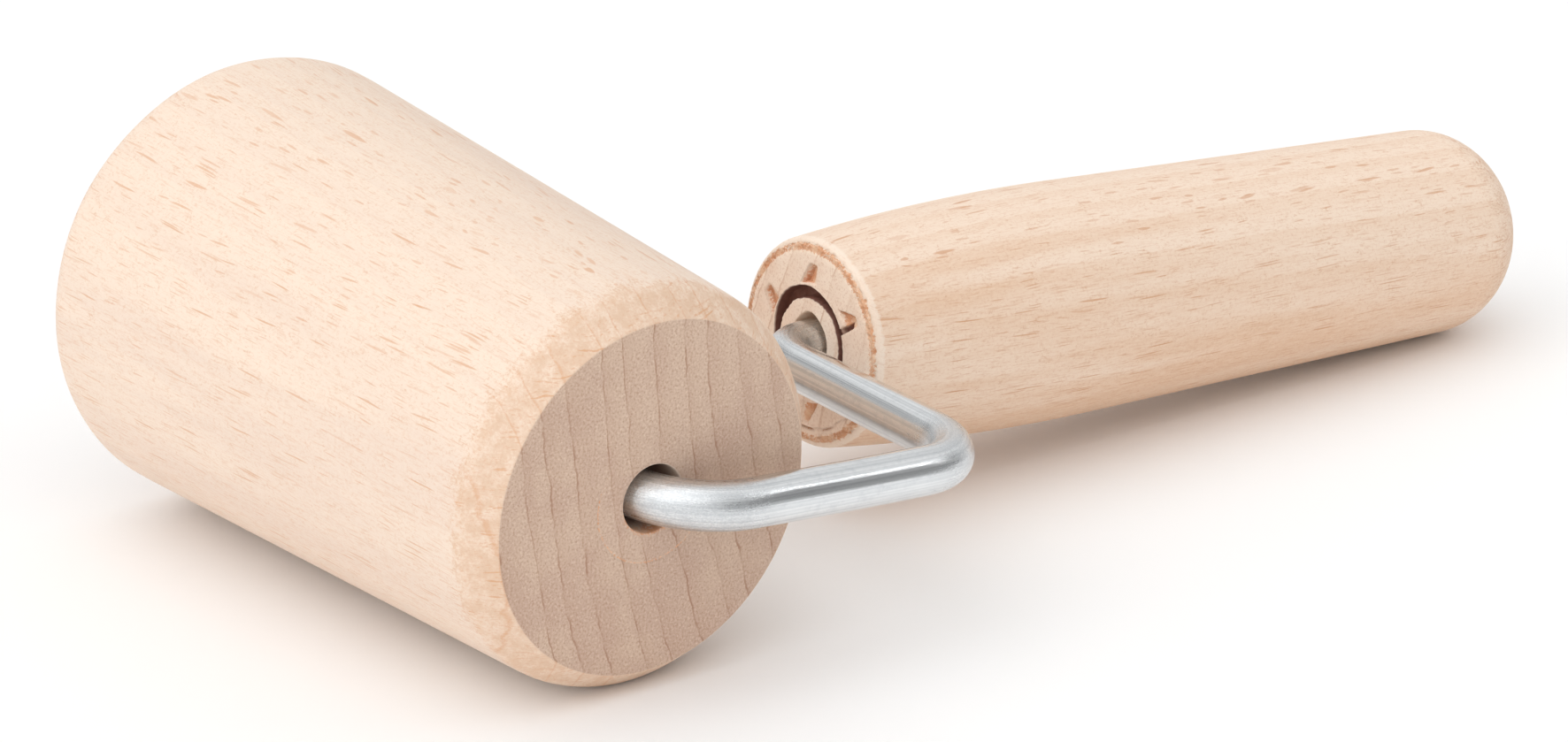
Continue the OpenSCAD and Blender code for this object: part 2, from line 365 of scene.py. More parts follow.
class Beech(Look):
    """Solid beech. The stored "grain" vector is the distance along the grain and the two across it, in
    mm. The pith is where the tree's centre was, in those last two, and the last argument says how much
    paler the wood is painted upwards, per mm: painted light, paler on top and darker below. Rings, rays
    and pores run through the solid, so the side, the bevels and the ends each show their own cut of them."""

    def __init__(self, name, pith, painted_light_up):
        super().__init__(name)
        grain = self.stored("grain")["Vector"]
        along, _, upward = self.split(grain)
        radius, tangent = self.place_in_tree(grain, pith)
        self.ring_line, self.ring_band, self.ring_strength = self.growth_rings(grain, radius)
        # Short spindles on the side that shows the rings flat, wide flakes on the quartered side
        place = (along, tangent, radius)
        self.big_ray = self.rays(place, length=11.0, width=0.40, depth=1.9, keep=0.80)
        self.small_ray = self.rays(place, length=5.5, width=0.27, depth=1.1, keep=0.90)
        self.cut_ray = self.rays(place, length=4.0, width=0.42, depth=15.0, keep=0.90)
        # Pores are fine streaks along the grain, which end grain shows as specks
        self.pores = self.drawn_noise(grain, 0.45, 4.5, 3.0, 0.65)["Fac"]
        self.fine = self.drawn_noise(grain, 2.2, 3.1, 3.0, 0.75)["Fac"]
        self.blotch = self.drawn_noise(grain, 0.5, 0.5, 4.0, 0.7)["Fac"]
        cloud = self.drawn_noise(grain, 0.010, 0.13, 3.0, 0.6)["Fac"]
        # Painted light: the cloud is shifted so that the wood is painted paler upwards and darker downwards
        self.cloud = self.maths("SUBTRACT", cloud, self.times(upward, painted_light_up))

    def place_in_tree(self, grain, pith):
        """How far each point is from the tree's centre and how far round it, in mm, wandering a little."""
        drift = self.drawn_noise(grain, 0.010, 0.045, 4.0, 0.55)["Color"]
        drift = self.scaled(self.shifted(drift, (-0.5, -0.5, -0.5)), (0.0, GRAIN_WANDER, GRAIN_WANDER))
        _, across, up = self.split(self.shifted(self.shifted(grain, drift), (0.0, -pith[0], -pith[1])))
        # atan2 is well away from its seam, because the pith lies outside the piece
        turn = self.maths("ARCTAN2", self.times(up, -1.0), self.times(across, -1.0))
        ripple = self.drawn_noise(grain, 0.04, 0.25, 2.0)["Fac"]
        tangent = self.plus(self.times(turn, math.hypot(*pith)), self.times(ripple, RAY_RIPPLE))
        return self.away(across, up), tangent

    def growth_rings(self, grain, radius):
        """The late wood's thin line, the soft band that leads into it, and how strong the line is here."""
        uneven = self.noise(self.joined(radius, 0.0, 0.0), 0.11, 1.0)["Fac"]
        wiggle = self.drawn_noise(grain, 0.03, 0.42, 3.0, 0.6)["Fac"]
        patchy = self.drawn_noise(grain, 0.05, 0.22, 3.0, 0.6)["Fac"]
        phase = self.plus(self.maths("DIVIDE", radius, RING_GAP), self.times(uneven, RING_UNEVEN))
        share = self.maths("FRACT", self.plus(phase, self.times(wiggle, RING_WIGGLE)))
        line = self.times(self.spread(share, 0.905, 0.96), self.spread(share, 1.0, 0.97))
        band = self.times(self.spread(share, 0.25, 0.92), self.spread(share, 1.0, 0.96))
        return line, band, self.spread(patchy, 0.40, 0.62, 0.14, 0.72)

    def rays(self, place, length, width, depth, keep):
        """Spindles of ray cells, from their size along the grain, round the tree and outwards, in mm, and
        the share of them that shows. The place is each point's distance along those three."""
        space = [self.maths("DIVIDE", way, size) for way, size in zip(place, (length, width, depth))]
        cell = self.cells(self.joined(*space))
        tone = self.split(cell["Color"])[0]
        return self.times(self.spread(cell["Distance"], 0.27, 0.17), self.spread(tone, 1 - keep, 1.0))

    def side(self, pale, rosy, fleck):
        """The colour of a surface along the grain."""
        # The cloud's tone includes painted light: paler on top, darker below
        color = self.mixed(self.spread(self.cloud, 0.36, 0.68, 0.10, 0.80), pale, rosy)
        color = self.tinted(color, self.ring_band, 0.26, rosy)
        color = self.tinted(color, self.spread(self.pores, 0.50, 0.72), 0.28, fleck)
        color = self.tinted(color, self.spread(self.pores, 0.46, 0.28), 0.30, pale)
        color = self.tinted(color, self.spread(self.fine, 0.50, 0.72), 0.24, fleck)
        color = self.tinted(color, self.spread(self.fine, 0.47, 0.28), 0.25, pale)
        color = self.tinted(color, self.small_ray, 0.48, fleck)
        return self.tinted(color, self.big_ray, 0.60, fleck)

    def end(self, pale, end_pale, end_dark, end_line):
        """The colour of end grain."""
        # The cloud's tone includes painted light: paler on top, darker below
        color = self.mixed(self.spread(self.cloud, 0.34, 0.66), end_pale, end_dark)
        color = self.tinted(color, self.spread(self.fine, 0.49, 0.68), 0.52, end_line)
        color = self.tinted(color, self.spread(self.fine, 0.48, 0.30), 0.52, pale)
        color = self.tinted(color, self.ring_band, 0.12, end_line)
        return self.tinted(color, self.ring_line, self.ring_strength, end_line)

    def with_bevel(self, color, endness, fleck):
        """The colour, blotchy and with long cut rays where the stored "rough" says that a bevel cuts the
        grain on the slant. It has no clean outer edge."""
        rough = self.plus(self.stored("rough")["Fac"], self.spread(self.blotch, 0.3, 0.7, -0.28, 0.28))
        rough = self.plus(rough, self.spread(self.fine, 0.3, 0.7, -0.35, 0.35))
        slanted = self.mixed(self.spread(self.blotch, 0.36, 0.64), SLANT_PALE, SLANT_DARK)
        slanted = self.tinted(slanted, self.ring_line, 0.45, fleck)
        slanted = self.tinted(slanted, self.spread(self.fine, 0.50, 0.74), 0.42, fleck)
        slanted = self.tinted(slanted, self.cut_ray, 0.75, fleck)
        slanted = self.tinted(slanted, self.small_ray, 0.40, fleck)
        bevel = self.times(self.spread(rough, 0.10, 1.05), self.spread(endness, 0.97, 0.85))
        return self.tinted(color, bevel, 0.9, slanted)

    def with_wear(self, color):
        """The colour, with the raised fibres of the stored "fuzz", the torn wood of "torn", both with
        frayed edges, and the stored darkening: dark marks on the face, and painted shade inside the bores."""
        frayed = self.spread(self.fine, 0.30, 0.70, -0.30, 0.30)
        fuzz = self.spread(self.plus(self.stored("fuzz")["Fac"], frayed), 0.40, 0.75)
        color = self.tinted(color, fuzz, 0.62, FUZZ_TINT)
        torn = self.spread(self.plus(self.stored("torn")["Fac"], frayed), 0.42, 0.62)
        torn_color = self.mixed(self.spread(self.blotch, 0.36, 0.60), TORN_PALE, TORN_DARK)
        color = self.tinted(color, torn, 0.9, torn_color)
        # Darkens the real marks, and paints shade inside the bores
        return self.mixed(self.stored("scar_and_shade")["Fac"], color, SCAR_AND_SHADE_TINT)


def beech(name, pith, pale, rosy, fleck, end_pale, end_dark, end_line, painted_light_up):
    """A beech material. The stored "endness" is 1 on an end face and 0 along the grain."""
    wood = Beech(name, pith, painted_light_up)
    endness = wood.stored("endness")["Fac"]
    side = wood.side(pale, rosy, fleck)
    end = wood.end(pale, end_pale, end_dark, end_line)
    color = wood.mixed(wood.spread(endness, 0.80, 0.97), side, end)
    color = wood.with_wear(wood.with_bevel(color, endness, fleck))
    relief = wood.plus(wood.times(wood.fine, 0.5), wood.times(wood.pores, 0.5))
    relief = wood.maths("SUBTRACT", relief, wood.times(wood.big_ray, 0.5))
    roughness = wood.spread(wood.pores, 0.35, 0.7, 0.50, 0.66)
    return wood.finish(color, roughness, wood.bump(relief, WOOD_RELIEF, 0.6), IOR=WOOD_IOR)


# --- Roller -------------------------------------------------------------------------------

ROLLER_AROUND = 256
IMPRINT_R, IMPRINT_WIDE, IMPRINT_DEPTH = 7.9, 0.16, 0.10
EDGE_REACH, EDGE_EASE, EDGE_WANDER = 1.6, 0.10, 0.06
NARROW_BLEND, WIDE_BLEND = 3.6, 0.6
IMPRINT_TORN, LIP_TORN, ROLLER_BORE_SHADE = 0.62, 0.8, 0.55


def roller_outline():
    """(radius, distance from the narrow face), once round the section, from the bore's near mouth."""
    narrow_face, narrow_side = (NARROW_R - BEVEL_W, 0), (NARROW_R, BEVEL_LEN)
    wide_side, wide_face = (WIDE_R, ROLLER_LEN - BEVEL_LEN), (WIDE_R - BEVEL_W, ROLLER_LEN)
    mouth, bore_foot = (BORE_R, 0), (BORE_R, RECESS_FLOOR)
    recess_mouth, recess_foot = (RECESS_R, ROLLER_LEN), (RECESS_R, RECESS_FLOOR)
    face = rounded((BORE_R, 5), mouth, (9, 0), BORE_LIP_R, 4)
    face += [(IMPRINT_R + gap, 0) for gap in (-0.5, -0.2, 0, 0.2, 0.5)]
    face += rounded(mouth, narrow_face, narrow_side, FACE_EDGE_R)
    side = rounded(narrow_face, narrow_side, wide_side, SIDE_EDGE_R, 10)
    side += rounded(narrow_side, wide_side, wide_face, SIDE_EDGE_R, 10)
    back = rounded(wide_side, wide_face, (0, ROLLER_LEN), FACE_EDGE_R)
    back += rounded(wide_face, recess_mouth, recess_foot, RECESS_LIP_R, 4)
    back += rounded(recess_mouth, recess_foot, bore_foot, RECESS_FOOT_R, 4)
    back += rounded(recess_foot, bore_foot, mouth, BORE_LIP_R, 4)
    bore = dense([back[-1], face[0]], 5)[1:-1]
    return dense(face, 0.9) + dense(side, 1.6) + dense(back, 0.9) + bore


def roller():
    outline = roller_outline()
    radius, depth, turn = revolved(outline, ROLLER_AROUND)
    # The outer edges were eased by hand, so they wander a little
    for edge, edge_r in ((BEVEL_LEN, NARROW_R), (ROLLER_LEN - BEVEL_LEN, WIDE_R)):
        near = bell(depth - edge, EDGE_REACH) * step(edge_r - 3, edge_r - 1, radius)
        radius = radius - near * (EDGE_EASE + waves(turn, 5, 2, 9, EDGE_WANDER))
    # A ring that a centre once pressed into the end grain round the bore, deeper on its lower side
    pressed = bell(radius - IMPRINT_R - waves(turn, 8, 2, 7, 0.08), IMPRINT_WIDE)
    pressed = pressed * (depth < 0.01) * step(0.1, 0.7, 0.5 - 0.6 * np.sin(turn + 0.3))
    depth = depth + pressed * IMPRINT_DEPTH
    rings = np.stack([-depth, radius * np.cos(turn), radius * np.sin(turn)], axis=-1)
    piece, points = ring_mesh("roller_wood", rings, loop=True)
    note(piece, "grain", points)
    note(piece, "endness", np.repeat(steepness(outline), ROLLER_AROUND))
    # The narrow end's bevel fades far into the side, the wide end's hardly
    end_gap = np.minimum(depth, ROLLER_LEN - depth)
    blend = np.where(depth < ROLLER_LEN / 2, NARROW_BLEND, WIDE_BLEND)
    on_bevel = step(BEVEL_LEN + blend, BEVEL_LEN - 1.2, end_gap) * (radius > 15)
    note(piece, "rough", on_bevel.ravel())
    lip = bell(radius - BORE_R, 0.3) * (depth < 1.2) * step(-0.2, 0.5, -np.sin(turn))
    note(piece, "torn", (pressed * IMPRINT_TORN + lip * LIP_TORN).ravel())
    # Painted shade: the bore's wall is darkened from just inside its mouth, with a little scorch from the
    # drill
    bore = (radius < BORE_R + 0.05) * step(0.3, 2.5, depth)
    note(piece, "scar_and_shade", (bore * ROLLER_BORE_SHADE).ravel())
    piece.data.materials.append(beech(
        # Painted light: the wood is painted a little paler upwards and darker downwards
        "roller_beech", pith=(145.0, 39.0), painted_light_up=0.004,
        pale=shade(245, 225, 206), rosy=shade(235, 213, 196), fleck=shade(218, 160, 114),
        end_pale=shade(217, 189, 167), end_dark=shade(208, 178, 158), end_line=shade(168, 120, 92)))
    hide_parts("roller")
    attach(piece, "roller_body")


# --- Handle -------------------------------------------------------------------------------

HANDLE_AROUND = 432
MOUTH_R, MOUTH_DEPTH, MOUTH_PEAK = 3.55, 2.5, 0.5
RING_IN_R, RING_OUT_R, RING_DEPTH = 5.85, 6.85, 1.8
RING_GAPE, RING_PINCH = 0.60, 0.30
SPUR_COUNT, SPUR_START = 6, 38.0
SPUR_IN_R, SPUR_OUT_R, SPUR_WIDE, SPUR_DEPTH = 7.8, 10.3, 3.3, 1.3
SPUR_TAPER = 0.45
NOTCH_ASIDE, NOTCH_DEPTH = 0.9, 1.1
RIM_R = NECK_R - ROUGH_BAND
TORN_FROM, TORN_TO, FUZZ_TO = -0.75, 0.45, 2.2
TORN_DEPTH, FUZZ_HEIGHT = 0.24, 0.05
CRACK_R, CRACK_DEPTH = 11.0, 0.45
# Places on the face: a direction in degrees, counted from X up to Z, and how wide it reaches
GAPE_AT, PINCH_AT, CRACK_AT = (128, 45), (15, 55), (285, 42)
PEAK_AT, PULLED_IN_AT = (97, 26), (0, 50)
# How dark and how torn the marks are, from 0 to 1. The bore's darkening is painted shade.
WALL_SCAR, NOTCH_SCAR, CRACK_SCAR, HANDLE_BORE_SHADE = 0.93, 0.9, 0.4, 0.12
SPUR_TORN, CRACK_TORN, RIM_TORN, LIP_FUZZ = 0.75, 0.8, 0.72, 0.75
TIP_ENDNESS, TIP_ROUGH = 0.84, 0.80


def grip_r(s):
    """Radius of the grip at a distance from the face."""
    taper = ROOT_R + (TIP_R - ROOT_R) * s / GRIP_LEN
    return taper - (ROOT_R - NECK_R) * max(0.0, 1 - s / NECK_LEN) ** 2


def handle_outline():
    """(radius, distance from the face), from the bore's foot out over the face and along to the tip."""
    tang_r = WIRE_R - PRESS_FIT
    bore = [(tang_r, TANG_LEN + 1), (tang_r, MOUTH_DEPTH), (MOUTH_R, MOUTH_DEPTH - 0.8)]
    bore += rounded(bore[-1], (MOUTH_R, 0), (9, 0), 0.2, 4)
    # The face's rings lie closest where the groove is, and at the rim
    edges = (3.9, RING_IN_R - 0.45, RING_OUT_R + 1.0, SPUR_OUT_R + 0.5, RIM_R - 0.5)
    gaps = (0.25, 0.085, 0.14, 0.3)
    face = [(r, 0) for a, b, gap in zip(edges, edges[1:], gaps) for r in np.arange(a, b, gap)]
    face += [(r, 0) for r in np.arange(edges[-1], RIM_R + 0.01, 0.1)]
    start = (RIM_R + ROUGH_DROP, ROUGH_DROP)
    shoulder = rounded(start, (grip_r(NECK_ROUND / 2), NECK_ROUND / 2),
                       (grip_r(NECK_ROUND * 2), NECK_ROUND * 2), NECK_ROUND, 10)
    edge = dense([face[-1], start] + shoulder + [(grip_r(2.6), 2.6)], 0.14)[1:]
    side = [(grip_r(s), s) for s in np.linspace(3.2, GRIP_LEN, 52)]
    quarter = np.linspace(0, math.pi / 2, 25)[1:-1]
    tip = [(TIP_R * math.cos(a), GRIP_LEN + TIP_LEN * math.sin(a)) for a in quarter]
    return dense(bore, 6) + face + edge + side + tip


def ragged_ring(even, turn):
    """The radius of the face's points once the groove's walls are ragged and it gapes at the upper left."""
    inner = waves(turn, 21, 3, 14, 0.09) + waves(turn, 22, 20, 60, 0.045)
    outer = waves(turn, 23, 2, 10, 0.09) + waves(turn, 24, 20, 50, 0.04)
    outer = outer + RING_GAPE * towards(turn, *GAPE_AT) - RING_PINCH * towards(turn, *PINCH_AT)
    at_inner = step(RING_IN_R - 0.8, RING_IN_R, even)
    at_inner = at_inner * step(RING_OUT_R - 0.2, RING_IN_R + 0.2, even)
    at_outer = step(RING_IN_R + 0.3, RING_OUT_R, even)
    at_outer = at_outer * step(RING_OUT_R + 2.4, RING_OUT_R + 0.1, even)
    return even + inner * at_inner + outer * at_outer


def beside_spur(turn, number):
    """The angle from a spur's direction, between minus and plus half a turn."""
    middle = math.radians(SPUR_START + number * 360 / SPUR_COUNT)
    return (turn - middle + math.pi) % (2 * math.pi) - math.pi


def centre_marks(even, radius, turn):
    """Depth of the lathe centre's marks in the end grain, and how much each spot is in a spur's mark and
    in the notch. The groove follows the even radius, the others the ragged one."""
    groove = step(RING_IN_R - 0.05, RING_IN_R + 0.12, even)
    groove = groove * step(RING_OUT_R + 0.12, RING_OUT_R - 0.05, even)
    depth = groove * (RING_DEPTH + waves(turn, 25, 5, 20, 0.12))
    # A spur's mark is a wedge that narrows outwards, with a floor that slopes down to one side
    spurs = np.zeros_like(radius)
    for number in range(SPUR_COUNT):
        v = beside_spur(turn, number) * radius / SPUR_WIDE + 0.5
        u = (radius - SPUR_IN_R) / (SPUR_OUT_R - SPUR_IN_R)
        across = v / (SPUR_TAPER + (1 - SPUR_TAPER) * np.clip(1 - u, 0, 1))
        ramp = np.clip(across, 0, 1) * step(1.05, 0.97, across)
        spurs = np.maximum(spurs, ramp * step(-0.06, 0.06, u) * step(1.05, 0.90, u) * (v > 0))
    # The first spur broke through to the ring
    aside = np.abs(beside_spur(turn, 0) * radius + NOTCH_ASIDE)
    notch = step(0.45, 0.25, aside) * step(6.6, 6.9, radius) * step(9.4, 9.0, radius)
    depth = np.maximum.reduce([depth, spurs * SPUR_DEPTH, notch * NOTCH_DEPTH])
    return depth, spurs, notch


def torn_edge(outline, turn):
    """How much each spot is torn wood, raised fibres and the lip inside them, where the handle was parted
    off. "past" is the way along the outline from the edge of the flat face."""
    line = np.array(outline)
    walk = np.concatenate([[0], np.cumsum(np.linalg.norm(np.diff(line, axis=0), axis=1))])
    edge_at = walk[np.argmin(np.abs(line[:, 0] - RIM_R) + np.abs(line[:, 1]))]
    past = np.repeat((walk - edge_at)[:, None], HANDLE_AROUND, axis=1)
    inner = past - waves(turn, 31, 3, 12, 0.05) - waves(turn, 36, 30, 90, 0.04)
    outer = past + waves(turn, 37, 3, 12, 0.12) + waves(turn, 32, 30, 110, 0.14)
    torn = step(TORN_FROM - 0.12, TORN_FROM + 0.12, inner) * step(TORN_TO + 0.4, TORN_TO - 0.4, outer)
    raised = step(TORN_TO - 0.3, TORN_TO + 0.1, outer) * step(FUZZ_TO, FUZZ_TO - 1.1, outer)
    return torn, raised, LIP_FUZZ * bell(inner - TORN_FROM + 0.22, 0.13)


def crack_mark(radius, turn):
    """A crack that follows a ring, low on the face."""
    beside = np.abs(radius - CRACK_R - waves(turn, 33, 4, 20, 0.12))
    return step(0.2, 0.05, beside) * towards(turn, *CRACK_AT)


def pulled_mouth(radius, depth, turn):
    """How far the bore's mouth was pulled out, to a point at the top, when the wire was driven in."""
    mouth = step(MOUTH_R - 0.3, MOUTH_R, radius) * step(5.4, 3.6, radius) * step(2.6, 0.6, depth)
    return mouth * MOUTH_PEAK * (towards(turn, *PEAK_AT) - 0.25 * towards(turn, *PULLED_IN_AT))


def groove_walls(even):
    """The two walls of the groove, from their top edges down."""
    walls = step(RING_IN_R - 0.14, RING_IN_R - 0.03, even)
    return walls * step(RING_OUT_R + 0.21, RING_OUT_R + 0.10, even)


def handle():
    outline = handle_outline()
    even, depth, turn = revolved(outline, HANDLE_AROUND)
    on_face = (depth < 0.02) & (even > MOUTH_R + 0.1)
    radius = np.where(on_face, ragged_ring(even, turn), even)
    marks, spurs, notch = centre_marks(even, radius, turn)
    torn_rim, raised, lip = torn_edge(outline, turn)
    crack = crack_mark(radius, turn) * on_face
    ragged = 0.6 + waves(turn + radius * 3, 34, 60, 170, 0.55) + waves(turn - depth * 5, 35, 20, 60, 0.35)
    fibres = waves(turn, 41, 20, 60, 0.008) * step(3.6, 4.2, radius)
    depth = depth + on_face * (marks + fibres) + crack * CRACK_DEPTH + torn_rim * TORN_DEPTH * ragged
    radius = radius + raised * FUZZ_HEIGHT * ragged
    radius = radius + pulled_mouth(radius, depth, turn)
    rings = np.stack([radius * np.cos(turn) - HANDLE_BACK,
                      depth + HANDLE_FACE,
                      radius * np.sin(turn) + AXLE_Z], axis=-1)
    piece, points = ring_mesh("handle_wood", rings)
    note(piece, "grain", np.stack([points[:, 1], points[:, 0] + HANDLE_BACK, points[:, 2]], axis=1))
    # The tip's dome cuts the grain on the slant all over, so it counts as a bevel and not as an end
    endness = steepness(outline)[:, None] * np.where(depth > GRIP_LEN, TIP_ENDNESS, 1.0)
    note(piece, "endness", endness.ravel())
    note(piece, "rough", (TIP_ROUGH * step(GRIP_LEN - 3, GRIP_LEN + 9, depth)).ravel())
    # Painted shade: the bore's wall is darkened past its mouth
    in_bore = (radius < MOUTH_R + 0.02) & (depth > 0.8) & (depth < TANG_LEN + 2)
    dark = [groove_walls(even) * WALL_SCAR, notch * NOTCH_SCAR, crack * CRACK_SCAR]
    note(piece, "scar_and_shade", (on_face * np.maximum.reduce(dark) + in_bore * HANDLE_BORE_SHADE).ravel())
    streaked = torn_rim * (RIM_TORN + waves(turn, 38, 3, 24, 0.16))
    torn = np.maximum.reduce([on_face * step(0, 0.4, spurs) * SPUR_TORN, crack * CRACK_TORN, streaked])
    note(piece, "torn", torn.ravel())
    note(piece, "fuzz", np.maximum(raised, lip).ravel())
    piece.data.materials.append(beech(
        # Painted light: the wood is painted paler upwards and darker downwards
        "handle_beech", pith=(130.0, -25.0), painted_light_up=0.012,
        pale=shade(248, 227, 207), rosy=shade(230, 193, 162), fleck=shade(204, 138, 86),
        # The end grain is paler than the roller's: partly fresh-cut wood, partly painted light that lifts
        # the face out of the shade the roller casts on it
        end_pale=shade(255, 237, 219), end_dark=shade(250, 226, 206), end_line=shade(216, 178, 150)))
    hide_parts("handle")
    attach(piece, "hand_frame")


# --- Wire arm -----------------------------------------------------------------------------

WIRE_AROUND = 64
WIRE_STEP = 0.6
BEND_BLEND = 9
ZINC_RELIEF = 0.05 * MM


def wire_route():
    """The wire's centre line, from the roller's far end to the tang's foot, and how sharply it bends."""
    axle_end = -AXLE_END + WIRE_CHAMFER
    tang_end = HANDLE_FACE + TANG_LEN - WIRE_CHAMFER
    corners = [np.array((x, y, AXLE_Z), float) for x, y in (
        (axle_end, AXLE_Y), (ARM_OUT, AXLE_Y), (ARM_OUT, CORNER_REACH),
        (-HANDLE_BACK, CORNER_REACH), (-HANDLE_BACK, tang_end))]
    route, bent = [corners[0]], [0.0]

    def straight_to(end):
        start = route[-1]
        count = math.ceil(np.linalg.norm(end - start) / WIRE_STEP)
        route.extend([start + (end - start) * (i + 1) / count for i in range(count)])
        bent.extend([0.0] * count)

    for a, b, c, bend_r in zip(corners, corners[1:], corners[2:], BEND_RADII):
        u = (a - b) / np.linalg.norm(a - b)
        v = (c - b) / np.linalg.norm(c - b)
        straight_to(b + u * bend_r)
        centre = b + (u + v) * bend_r
        count = math.ceil(bend_r * math.pi / 2 / WIRE_STEP)
        for i in range(1, count + 1):
            t = i / count * math.pi / 2
            route.append(centre - v * bend_r * math.cos(t) - u * bend_r * math.sin(t))
            bent.append(math.sin(2 * t) / bend_r)
    straight_to(corners[-1])
    route = np.array(route)
    # Bent by hand: the first leg climbs a little to the axle
    route[:, 2] += AXLE_LIFT * step(CORNER_REACH - BEND_RADII[1], AXLE_Y, route[:, 1])
    return route, np.array(bent)


def blended(values):
    """The mean of each value and its neighbours."""
    return np.convolve(values, np.ones(BEND_BLEND) / BEND_BLEND, "same")


def wire():
    route, bent = wire_route()
    heading = np.gradient(route, axis=0)
    heading /= np.linalg.norm(heading, axis=1)[:, None]
    up = np.array([0.0, 0.0, 1.0])
    beside = np.cross(heading, up)
    along = np.concatenate([[0], np.cumsum(np.linalg.norm(np.diff(route, axis=0), axis=1))])
    angle = np.linspace(0, 2 * math.pi, WIRE_AROUND, endpoint=False)
    # A bend squeezes the wire a little flatter in the plane of the bend
    out = WIRE_R * (1 - blended(bent) * WIRE_FLATTER)
    rings = (route[:, None]
             + beside[:, None] * (out[:, None] * np.cos(angle))[..., None]
             + up * (WIRE_R * np.sin(angle))[None, :, None])
    # Cropped ends with a small chamfer
    small = (WIRE_R - WIRE_CHAMFER) / WIRE_R
    first = (rings[0] - route[0]) * small + route[0] - heading[0] * WIRE_CHAMFER
    last = (rings[-1] - route[-1]) * small + route[-1] + heading[-1] * WIRE_CHAMFER
    rings = np.concatenate([first[None], rings, last[None]])
    along = np.concatenate([[along[0] - WIRE_CHAMFER], along, [along[-1] + WIRE_CHAMFER]])
    piece, _ = ring_mesh("bent_wire", rings)
    skin = np.stack([np.repeat(along, WIRE_AROUND),
                     np.tile(np.cos(angle), len(along)) * WIRE_R,
                     np.tile(np.sin(angle), len(along)) * WIRE_R], axis=1)
    note(piece, "skin", skin)
    # The bends are duller and finely crazed
    worked = blended(bent > 0)
    worked = np.concatenate([worked[:1], worked, worked[-1:]])
    note(piece, "worked", np.repeat(worked, WIRE_AROUND))
    piece.data.materials.append(zinc())
    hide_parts("arm")
    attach(piece, "hand_frame")


def zinc():
    """Satin zinc on drawn wire: long fine streaks and a soft mottle, duller where "worked" in a bend.
    The stored "skin" vector is the distance along the wire and the place in its section, in mm."""
    look = Look("galvanised_zinc")
    skin = look.stored("skin")["Vector"]
    worked = look.stored("worked")["Fac"]
    streak = look.drawn_noise(skin, 0.010, 2.6, 4.0, 0.65)["Fac"]
    hairs = look.drawn_noise(skin, 0.03, 9.0, 3.0, 0.6)["Fac"]
    mottle = look.drawn_noise(skin, 0.9, 1.2, 4.0, 0.65)["Fac"]
    grit = look.drawn_noise(skin, 5.0, 7.0, 2.0, 0.7)["Fac"]
    color = look.mixed(look.spread(streak, 0.36, 0.66), shade(214, 217, 219), shade(240, 242, 243))
    color = look.tinted(color, look.spread(mottle, 0.45, 0.70), 0.25, shade(186, 190, 195))
    color = look.tinted(color, look.spread(hairs, 0.55, 0.75), 0.25, shade(156, 160, 166))
    color = look.tinted(color, worked, look.spread(grit, 0.35, 0.65, 0.0, 0.55), shade(190, 193, 196))
    roughness = look.plus(look.spread(streak, 0.3, 0.7, 0.10, 0.18),
                          look.spread(mottle, 0.4, 0.75, 0.0, 0.10))
    roughness = look.plus(roughness, look.times(worked, 0.14))
    relief = look.plus(look.times(hairs, 0.3), look.times(grit, 0.07))
    relief = look.plus(relief, look.times(look.times(grit, worked), 1.2))
    relief = look.plus(relief, look.times(streak, 0.25))
    return look.finish(color, roughness, look.bump(relief, ZINC_RELIEF, 0.55), Metallic=1.0)


# --- Washer and retaining cap ---------------------------------------------------------------

SMALL_AROUND = 128
PLATE_RELIEF = 0.04 * MM


def turned_steel(name, outline, at):
    """A small turned piece on the axle, at a distance behind the narrow face."""
    radius, depth, turn = revolved(outline, SMALL_AROUND)
    rings = np.stack([-(at + depth),
                      radius * np.cos(turn) + AXLE_Y,
                      radius * np.sin(turn) + AXLE_Z + AXLE_LIFT], axis=-1)
    piece, points = ring_mesh(name, rings, loop=True)
    note(piece, "skin", points - np.array([0, AXLE_Y, AXLE_Z + AXLE_LIFT]))
    return piece


def plated():
    """Pressed steel with a thin zinc plate: fine circular rub marks and a little dirt."""
    look = Look("plated_steel")
    skin = look.stored("skin")["Vector"]
    deep, across, up = look.split(skin)
    rubbed = look.noise(look.joined(look.away(across, up), deep, 0.0), 6.0, 3.0, 0.6)["Fac"]
    mottle = look.noise(skin, 0.9, 4.0, 0.6)["Fac"]
    color = look.mixed(look.spread(mottle, 0.35, 0.7), shade(205, 207, 208), shade(176, 178, 180))
    roughness = look.spread(rubbed, 0.3, 0.7, 0.24, 0.42)
    return look.finish(color, roughness, look.bump(rubbed, PLATE_RELIEF, 0.5), Metallic=1.0)


def washer_outline():
    """(radius, depth), once round the washer's section, with rounded corners."""
    corners = [(WASHER_BORE_R, 0), (WASHER_R, 0), (WASHER_R, WASHER_T), (WASHER_BORE_R, WASHER_T)]
    section = []
    for i, corner in enumerate(corners):
        section += rounded(corners[i - 1], corner, corners[(i + 1) % 4], WASHER_EDGE_R, 4)
    return section


